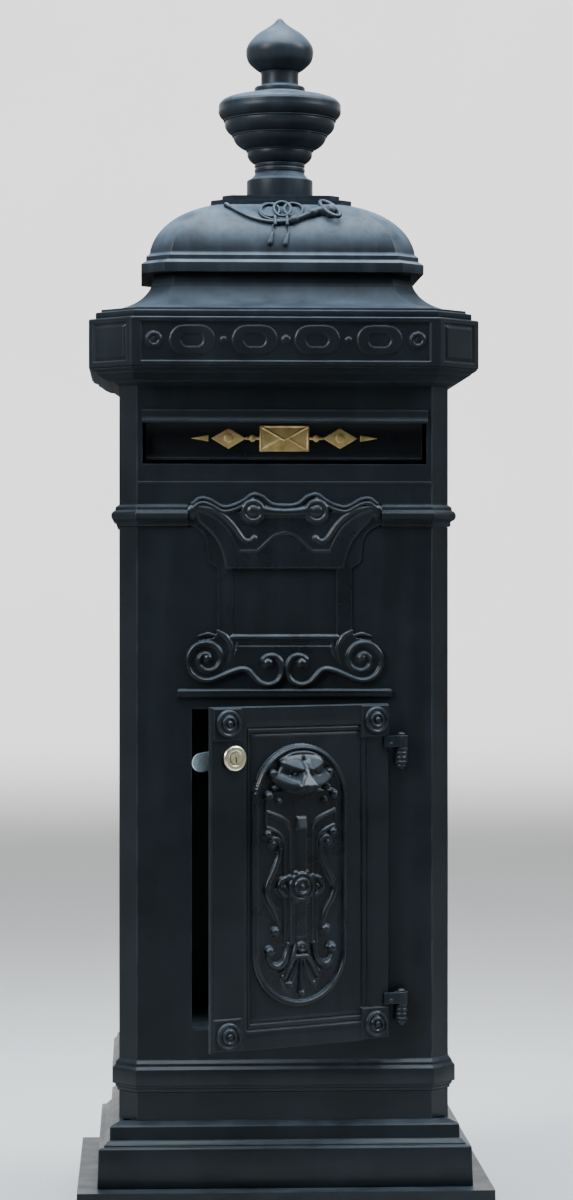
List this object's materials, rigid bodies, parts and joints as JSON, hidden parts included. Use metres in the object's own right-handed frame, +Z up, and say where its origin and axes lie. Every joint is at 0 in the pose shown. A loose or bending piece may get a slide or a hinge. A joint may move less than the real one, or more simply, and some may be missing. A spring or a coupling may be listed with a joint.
{
  "type": "pedestal mailbox",
  "caption": "Free-standing cast pedestal mailbox: stepped base, panelled tower, letter slot with inward flap, lockable front door on pin hinges, domed lid with turned finial.",
  "frame": {"origin": "centre of the base slab's underside, where the mailbox stands on the ground", "axes": "+Z up through the finial, +X to the right as seen by a person facing the door, -Y out of the front (door and slot side)"},
  "size_m": [0.4136, 0.3757, 1.2286],
  "materials": {
    "black_paint": "satin black powder coat over cast aluminium",
    "brass": "polished brass lock face",
    "zinc_steel": "zinc-plated steel, satin",
    "gilt": "gold enamel over a raised casting"
  },
  "bodies": {
    "housing": {"back_panel": "black_paint", "base_slab": "black_paint", "bed_moulding": "black_paint", "cap_plate": "black_paint", "cartouche": "black_paint", "corner_post_front_left": "black_paint", "corner_post_front_right": "black_paint", "corner_post_rear_left": "black_paint", "corner_post_rear_right": "black_paint", "drip_bar": "black_paint", "finial_ball": "black_paint", "finial_base": "black_paint", "finial_nut": "zinc_steel", "finial_rod": "zinc_steel", "finial_urn": "black_paint", "flap_bracket_left": "zinc_steel", "flap_bracket_right": "zinc_steel", "flap_rod": "zinc_steel", "floor_rail_left": "zinc_steel", "floor_rail_right": "zinc_steel", "frieze_band": "black_paint", "front_panel": "black_paint", "head_front": "black_paint", "head_shell": "black_paint", "hinge_lug_lower": "black_paint", "hinge_lug_upper": "black_paint", "left_panel": "black_paint", "lower_belt": "black_paint", "lower_body": "black_paint", "mail_floor": "zinc_steel", "plinth": "black_paint", "right_panel": "black_paint", "roof_cove": "black_paint", "roof_dome": "black_paint", "slot_hood": "black_paint", "waist_belt": "black_paint"},
    "door": {"door_panel": "black_paint", "door_medallion": "black_paint", "lion_mask": "black_paint", "rosette_top_left": "black_paint", "rosette_top_right": "black_paint", "rosette_bottom_left": "black_paint", "rosette_bottom_right": "black_paint", "hinge_leaf_upper": "black_paint", "hinge_leaf_lower": "black_paint", "hinge_pin_upper": "zinc_steel", "hinge_pin_lower": "zinc_steel", "lock_body": "brass", "lock_nut": "zinc_steel"},
    "lock": {"lock_plug": "brass", "lock_cam": "zinc_steel", "cam_screw": "zinc_steel"},
    "flap": {"slot_flap": "black_paint", "flap_emblem": "gilt"}
  },
  "joints": [
    {"name": "door_hinge", "type": "hinge", "parent": "housing", "child": "door", "pos_m": [0.116, -0.1215, 0.355], "axis": [0, 0, 1], "range_deg": [-28, 85]},
    {"name": "lock_turn", "type": "hinge", "parent": "door", "child": "lock", "pos_m": [-0.0534, -0.2087, 0.4733], "axis": [0.4695, -0.8829, 0], "range_deg": [-8, 82]},
    {"name": "flap_hinge", "type": "hinge", "parent": "housing", "child": "flap", "pos_m": [0, -0.1005, 0.811], "axis": [1, 0, 0], "range_deg": [0, 70]}
  ]
}
